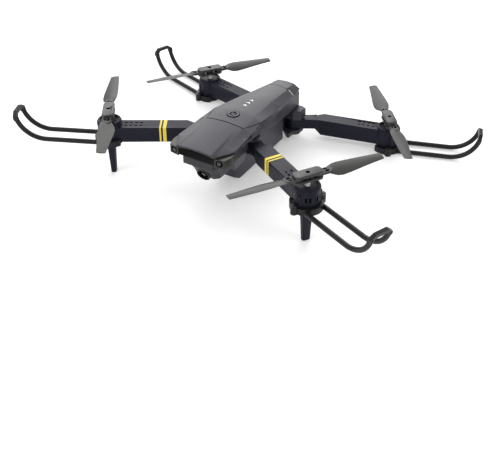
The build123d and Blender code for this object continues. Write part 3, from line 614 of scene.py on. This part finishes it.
# %% Hubs and blade roots
HUB_LIFT, BLADE_MIDDLE, BLADE_PIVOT = 2.9, 2.55, 7.0
WEDGE = [(3.1, -2.35), (5.2, -2.6), (7.4, -2.9), (9.2, -1.5), (9.4, 0.7), (7.6, 2.4), (5.2, 2.5),
         (3.1, 2.35)]
POCKETS = ([(4.2, 0.35), (6.9, 0.35), (5.6, 1.8), (4.4, 1.8)],
           [(4.2, -0.35), (7.4, -0.35), (6.4, -2.1), (4.4, -2.0)])
for end, corner in CORNERS.items():
    low = corner["top"] + HUB_LIFT
    middle = low + BLADE_MIDDLE
    for label, side in SIDES:
        place = flip(side) @ spot(*corner["hub"], corner["rotor_turn"])
        # The bore is a dark cup of painted shade down to the shaft.
        work = bmesh.new()
        turned_ring(work, place, [(0.02, low + 4.32), (1.28, low + 4.32), (1.28, low + 5.28),
                                  (1.12, low + 5.28), (1.0, low + 4.6), (0.02, low + 4.5)], steps=28)
        finished(f"{end}_hub_bore_shade_{label}", work, f"{end}_rotor_{label}", "hub_black", finish="dark_gap")
        # The posts are painted as dark as the shade between the plates.
        work = bmesh.new()
        for aside in (3.15, -3.15):
            turned_ring(work, place @ Matrix.Translation((0, aside, 0)),
                        [(0.02, low + 1.38), (0.42, low + 1.38), (0.36, low + 2.5), (0.42, low + 3.72),
                         (0.02, low + 3.72)], steps=14)
        finished(f"{end}_hub_posts_{label}", work, f"{end}_rotor_{label}", "hub_black", finish="dark_gap")
        for blade, turn in (("a", 0), ("b", 180)):
            turned_place = place @ Matrix.Rotation(radians(turn), 4, "Z")
            root = turned_place @ Matrix.Translation((BLADE_PIVOT, 0, middle))
            hand = corner["hand"]
            work = bmesh.new()
            block_over(work, root, [(x, y * hand) for x, y in WEDGE], -0.7, 1.06)
            finished(f"{end}_blade_{blade}_wedge_{label}", work, f"{end}_blade_{blade}_{label}",
                     "blade_grey", 0.18)
            # The pockets are thin plates of painted shade in the wedge's top.
            work = bmesh.new()
            for pocket in POCKETS:
                block_over(work, root, [(x, y * hand) for x, y in pocket], 0.9, 1.09)
            finished(f"{end}_blade_{blade}_pockets_{label}", work, f"{end}_blade_{blade}_{label}",
                     "blade_grey", finish="dark_gap")
print("hubs and eight blade roots")

# %% [markdown]
# ## Landing legs
# A leg is a post that tapers to a rounded foot. A raised rib runs down its inner and outer faces and
# keeps it from bending sideways. The rib's section changes along the leg, so it is built from a few
# rows of points joined by faces instead of a straight block.

# %% Leg ribs
for label, side in SIDES:
    place = flip(side) @ spot(*FRONT_HUB, front_turn)
    work = bmesh.new()
    ridge = [(24.0, 2.62, 1.5), (12.0, 2.15, 1.2), (3.0, 1.85, 0.9)]
    for face in (1, -1):
        rows = []
        for height, depth, half in ridge:
            rows.append([work.verts.new(place @ Vector((face * (depth - 0.3), -half, height))),
                         work.verts.new(place @ Vector((face * (depth + 0.3), -half * 0.55, height))),
                         work.verts.new(place @ Vector((face * (depth + 0.3), half * 0.55, height))),
                         work.verts.new(place @ Vector((face * (depth - 0.3), half, height)))])
        for upper, lower in zip(rows, rows[1:]):
            for index in range(4):
                work.faces.new((upper[index - 1], upper[index], lower[index], lower[index - 1]))
        work.faces.new(rows[0])
        work.faces.new(rows[-1][::-1])
    finished("leg_ribs_" + label, work, "front_arm_" + label, "arm_plastic", 0.1)
print("legs ribbed")

# %% [markdown]
# ## Rear elbows
# The rear arm is moulded in two lengths that meet at the elbow, and the joint shows as a slanting dark
# line across the top and down both sides. It is a thin dark band let into the surface.

# %% Elbow joint lines
ELBOW_SLANT = 0.35
elbow_band = [(3.93, 8.5), (3.93, 16.03), (-3.93, 16.03), (-3.93, 8.5),
              (-3.7, 8.5), (-3.7, 15.8), (3.7, 15.8), (3.7, 8.5)]
for label, side in SIDES:
    place = flip(side) @ spot(*elbow, outer_turn)
    work = bmesh.new()
    ends = [[work.verts.new(place @ Vector((reach - ELBOW_SLANT * y, y, z))) for y, z in elbow_band]
            for reach in (-0.2, 0.25)]
    work.faces.new(ends[0])
    work.faces.new(ends[1][::-1])
    for index in range(len(elbow_band)):
        work.faces.new((ends[0][index - 1], ends[0][index], ends[1][index], ends[1][index - 1]))
    finished("elbow_line_" + label, work, "rear_arm_" + label, "arm_plastic", finish="dark_gap")
print("elbow lines cut")

# %% [markdown]
# ## Power button and cover seams
# The button carries the usual power sign: an open ring with a bar through its gap. The seams between
# the three covers are narrow gaps, and under a real gap it is dark because the covers overlap there
# and keep the light out. A dark strip of painted shade laid in each gap and round the button, almost
# level with the surface, stands in for that shade. The edge of the tail cover catches the light, so a
# fine pale strip beside its seam on each side is a painted highlight.

# %% Power sign
button = spot(0, -14.1)
work = bmesh.new()
turned_ring(work, button, [(1.65, 48.9), (2.45, 48.9), (2.45, 49.02), (1.65, 49.02)], 30, -235.0, 290.0)
block_over(work, button, [(-0.42, 0.2), (0.42, 0.2), (0.42, 3.0), (-0.42, 3.0)], 48.9, 49.02)
finished("power_sign", work, "button", "button_grey", finish="dark_gap")
# Painted shade in the gap round the button.
work = bmesh.new()
turned_ring(work, button, [(4.12, 47.6), (4.5, 47.6), (4.5, 48.6), (4.12, 48.62)], 48)
finished("button_gap", work, "airframe", "body_shell", finish="dark_gap")


# %% Seam strips: painted shade in the gaps, painted highlight beside the tail seam
def skin_strip(work, stops, half, sink):
    """Strip along a line of points (x, station, z) on the covers, at a depth below them."""
    rows = []
    for x, station, z in stops:
        rows.append([work.verts.new(DECK @ Vector((x, station + shift, z - sink - depth)))
                     for shift, depth in ((-half, 0), (half, 0), (half, 0.4), (-half, 0.4))])
    for first, second in zip(rows, rows[1:]):
        for index in range(4):
            work.faces.new((first[index - 1], first[index], second[index], second[index - 1]))
    work.faces.new(rows[0])
    work.faces.new(rows[-1][::-1])


def crown_line(station, crown, ridge_x, ridge_z, steps=6):
    """Points across the arched crown at a station, from the right-hand ridge to the left-hand one."""
    rise = crown - ridge_z
    return [(ridge_x * turn / steps, station, ridge_z + rise * (1 - (turn / steps) ** 2))
            for turn in range(-steps, steps + 1)]


# Painted shade in the cover seams: dark strips almost level with the surface.
work = bmesh.new()
front_seam = crown_line(-24.8, 48.3, 14.3, 46.9)
front_seam = [(-19.1, -8.3, 45.0)] + front_seam + [(19.1, -8.3, 45.0)]
skin_strip(work, front_seam, 0.3, -0.04)
rear_seam = [(-12.9, 46.25, 37.6)] + crown_line(46.25, 42.8, 8.1, 41.6) + [(12.9, 46.25, 37.6)]
skin_strip(work, rear_seam, 0.26, -0.04)
finished("cover_seams", work, "airframe", "body_shell", finish="dark_gap")
# Painted highlight: a pale strip in the collar's white beside each side of the tail seam stands for the
# light its edge catches.
work = bmesh.new()
for side in (1, -1):
    skin_strip(work, [(8.6 * side, 47.0, 41.1), (12.7 * side, 47.0, 37.7)], 0.2, -0.06)
finished("tail_seam_lips", work, "airframe", "body_shell", finish="collar_white")
print("power sign and seams done")

# %% [markdown]
# ## Nose: eyes, camera and grille
# The two corner sensors each have an eye: a black bezel round a small grey reflector. The camera has a
# grey bevelled front ring, and fine steps inside it that keep stray light off the sensor. The grille
# between the eyes is filled with slim upright fins.

# %% Sensor eyes
EYE_FACING = (0.1644, -0.9864)
lens_points = [vertex.co for vertex in nodes["sensor_lenses"].data.vertices]
for label, side in SIDES:
    own = [point for point in lens_points if point.x * side > 0]
    centre = sum(own, Vector()) / len(own)
    facing = Vector((side * EYE_FACING[0], EYE_FACING[1], 0))
    reach = max((point - centre).dot(facing) for point in own)
    eye = (Matrix.Translation(centre + facing * reach) @ facing.to_track_quat("Z", "Y").to_matrix().to_4x4()
           @ Matrix.Scale(MM, 4))
    work = bmesh.new()
    turned_ring(work, eye, [(1.25, -0.5), (2.28, -0.5), (2.28, 0.05), (1.95, 0.16), (1.4, 0.05),
                            (1.25, -0.1)], 36)
    finished("eye_bezel_" + label, work, "airframe", "sensor_olive", finish="dark_gap")
    work = bmesh.new()
    turned_ring(work, eye, [(0.02, -0.3), (1.05, -0.3), (1.05, -0.02), (0.75, 0.1), (0.02, 0.16)], 28)
    finished("eye_reflector_" + label, work, "airframe", "light_white", finish="hub_black")
print("eyes at", [round(value * 1000, 1) for value in centre])

# %% Camera rings
lens_axis = Vector((0, -0.94, -0.34)).normalized()
camera_seat = (DECK @ Matrix.Translation((0, -50.4, 22.0))
               @ lens_axis.to_track_quat("Z", "Y").to_matrix().to_4x4())
work = bmesh.new()
turned_ring(work, camera_seat, [(4.12, 1.3), (4.88, 1.3), (4.92, 1.58), (4.7, 1.78), (4.3, 1.78),
                                (4.12, 1.5)], 56)
finished("camera_front_ring", work, "airframe", "camera_shell", finish="hub_black")
work = bmesh.new()
for step, radius in enumerate((2.95, 3.3, 3.65)):
    height = 1.95 + 0.06 * step
    inner, outer = radius - 0.1, radius + 0.1
    turned_ring(work, camera_seat, [(inner, height), (outer, height), (outer, height + 0.14),
                                    (inner, height + 0.14)], 44)
finished("camera_step_rings", work, "airframe", "camera_shell", finish="dark_gap")

# %% Grille fins
work = bmesh.new()
fin_count, fin_half, fins_reach = 23, 0.16, 12.1
for index in range(fin_count):
    x = -fins_reach + 2 * fins_reach * index / (fin_count - 1)
    fin = [(x - fin_half, -59.45), (x + fin_half, -59.45), (x + fin_half, -58.6), (x - fin_half, -58.6)]
    block_over(work, DECK, fin, 38.4, 42.2)
finished("grille_fins", work, "airframe", "grille_black", 0.04)
print(fin_count, "grille fins")

# %% [markdown]
# ## Underneath
# Four case screws hold the hull together from below. Their heads are plain discs so far, so each one
# gets the same cross of two thin black bars of painted shade as the guard screws, to read as a recess.

# %% Case screw recesses in painted shade
# The cross recesses are painted shade: two black bars on each head.
work = bmesh.new()
for x in (6.0, -6.0):
    for station in (-16.0, 31.0):
        for turn in (0, 90):
            bar = spot(x, station, turn)
            block_over(work, bar, [(-0.8, -0.17), (0.8, -0.17), (0.8, 0.17), (-0.8, 0.17)], 5.94, 6.2)
finished("case_screw_recesses", work, "airframe", "screw_steel", finish="dark_gap")
print("case screws crossed")
